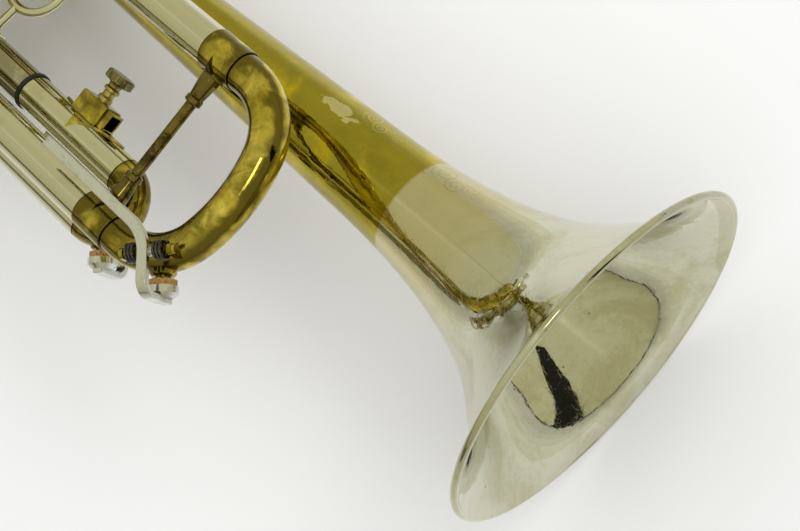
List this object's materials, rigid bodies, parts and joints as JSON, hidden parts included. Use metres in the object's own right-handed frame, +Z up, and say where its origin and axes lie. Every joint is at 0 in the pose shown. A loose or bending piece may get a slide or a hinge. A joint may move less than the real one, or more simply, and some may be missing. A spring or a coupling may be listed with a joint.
{
  "type": "trumpet",
  "caption": "Brass trumpet lying on its side, with a two-tone flared bell, piston valves under finger buttons, pull-out tuning slides, sprung water keys and a lyre socket.",
  "frame": {"origin": "centre of the bounding box in plan, on the table that the trumpet lies on", "axes": "+X along the instrument towards the bell, +Y towards the instrument's top side (finger buttons), +Z up from the table; the trumpet rests on its left side on the bell rim and the rear bow"},
  "size_m": [0.5558, 0.1654, 0.1219],
  "materials": {
    "nickel_silver_bell": "polished nickel silver with faint patina",
    "lacquered_brass": "aged gold lacquer",
    "tarnished_brass": "bare brass with brown tarnish",
    "nickel_tube": "bright nickel",
    "satin_nickel": "dulled nickel plate",
    "olive_bronze": "dark aged brass",
    "monel": "lapped nickel alloy",
    "spring_steel": "oiled wire",
    "cork": "natural cork",
    "black_rubber": "matt rubber",
    "felt": "white felt",
    "pearl": "mother of pearl",
    "silver_plate": "polished silver plate"
  },
  "bodies": {
    "instrument": {"bell_rim_bead": "nickel_silver_bell", "bell_flare": "nickel_silver_bell", "bell_stem": "lacquered_brass", "bell_rear_bow": "lacquered_brass", "mouthpiece_receiver": "tarnished_brass", "leadpipe": "lacquered_brass", "tuning_outer_tubes": "nickel_tube", "valve_knuckles": "lacquered_brass", "first_slide_outer_tubes": "nickel_tube", "second_slide_outer_tubes": "nickel_tube", "third_slide_outer_tubes": "nickel_tube", "third_slide_ring": "nickel_tube", "body_braces": "lacquered_brass", "pinky_hook": "lacquered_brass", "valve_guides": "monel", "top_valve_caps": "nickel_tube", "bottom_valve_caps": "nickel_tube", "valve_casing_1": "lacquered_brass", "valve_casing_2": "lacquered_brass", "valve_casing_3": "lacquered_brass", "piston_spring_1": "spring_steel", "piston_spring_2": "spring_steel", "piston_spring_3": "spring_steel"},
    "valve_1": {"piston_1": "monel", "piston_stem_1": "nickel_tube", "finger_button_1": "nickel_tube", "button_pearl_1": "pearl", "button_felts_1": "felt"},
    "valve_2": {"piston_2": "monel", "piston_stem_2": "nickel_tube", "finger_button_2": "nickel_tube", "button_pearl_2": "pearl", "button_felts_2": "felt"},
    "valve_3": {"piston_3": "monel", "piston_stem_3": "nickel_tube", "finger_button_3": "nickel_tube", "button_pearl_3": "pearl", "button_felts_3": "felt"},
    "tuning_slide": {"tuning_slide_bow": "tarnished_brass", "tuning_slide_legs": "nickel_tube", "tuning_slide_ferrules": "tarnished_brass", "tuning_slide_brace": "tarnished_brass", "tuning_key_saddle": "tarnished_brass", "tuning_key_spring": "spring_steel"},
    "tuning_key": {"tuning_key_lever": "satin_nickel", "tuning_key_cork": "cork"},
    "first_slide": {"first_slide_legs": "nickel_tube", "first_slide_bow": "lacquered_brass"},
    "second_slide": {"second_slide_legs": "nickel_tube", "second_slide_bow": "lacquered_brass"},
    "third_slide": {"third_slide_legs": "nickel_tube", "third_slide_o_ring": "black_rubber", "third_slide_bow": "tarnished_brass", "lyre_holder": "tarnished_brass", "third_key_saddle": "tarnished_brass", "third_key_spring": "spring_steel"},
    "third_key": {"third_key_lever": "satin_nickel", "third_key_cork": "cork"},
    "lyre_screw": {"lyre_thumbscrew": "olive_bronze"},
    "mouthpiece": {"mouthpiece": "silver_plate"}
  },
  "joints": [
    {"name": "valve_1_press", "type": "slide", "parent": "instrument", "child": "valve_1", "axis": [-0.0017, -0.9999, 0.0121], "range_m": [0, 0.017], "stiffness_N_per_m": 100, "springref_m": -0.02, "deforming": ["piston_spring_1"]},
    {"name": "valve_2_press", "type": "slide", "parent": "instrument", "child": "valve_2", "axis": [-0.0017, -0.9999, 0.0121], "range_m": [0, 0.017], "stiffness_N_per_m": 100, "springref_m": -0.02, "deforming": ["piston_spring_2"]},
    {"name": "valve_3_press", "type": "slide", "parent": "instrument", "child": "valve_3", "axis": [-0.0017, -0.9999, 0.0121], "range_m": [0, 0.017], "stiffness_N_per_m": 100, "springref_m": -0.02, "deforming": ["piston_spring_3"]},
    {"name": "tuning_slide_pull", "type": "slide", "parent": "instrument", "child": "tuning_slide", "axis": [0.9905, 0, 0.1372], "range_m": [0, 0.06]},
    {"name": "first_slide_pull", "type": "slide", "parent": "instrument", "child": "first_slide", "axis": [-0.9905, 0, -0.1372], "range_m": [0, 0.015]},
    {"name": "second_slide_pull", "type": "slide", "parent": "instrument", "child": "second_slide", "axis": [-0.1372, 0.0122, 0.9905], "range_m": [0, 0.015]},
    {"name": "third_slide_pull", "type": "slide", "parent": "instrument", "child": "third_slide", "axis": [0.9905, 0, 0.1372], "range_m": [0, 0.028]},
    {"name": "tuning_key_press", "type": "hinge", "parent": "tuning_slide", "child": "tuning_key", "pos_m": [0.14766, -0.03758, 0.09541], "axis": [-0.7314, -0.6755, -0.093], "range_deg": [0, 10], "stiffness_Nm_per_rad": 0.12, "springref_deg": -14.32},
    {"name": "third_key_press", "type": "hinge", "parent": "third_slide", "child": "third_key", "pos_m": [0.11719, -0.04957, 0.05196], "axis": [0.7314, 0.6755, 0.093], "range_deg": [0, 10], "stiffness_Nm_per_rad": 0.12, "springref_deg": -14.32},
    {"name": "lyre_screw_turn", "type": "hinge", "parent": "third_slide", "child": "lyre_screw", "pos_m": [0.08334, -0.01726, 0.05697], "axis": [0.0017, 0.9999, -0.0121], "range_deg": [0, 720]},
    {"name": "mouthpiece_pull", "type": "slide", "parent": "instrument", "child": "mouthpiece", "axis": [-0.9905, 0, -0.1372], "range_m": [0, 0.03]}
  ]
}
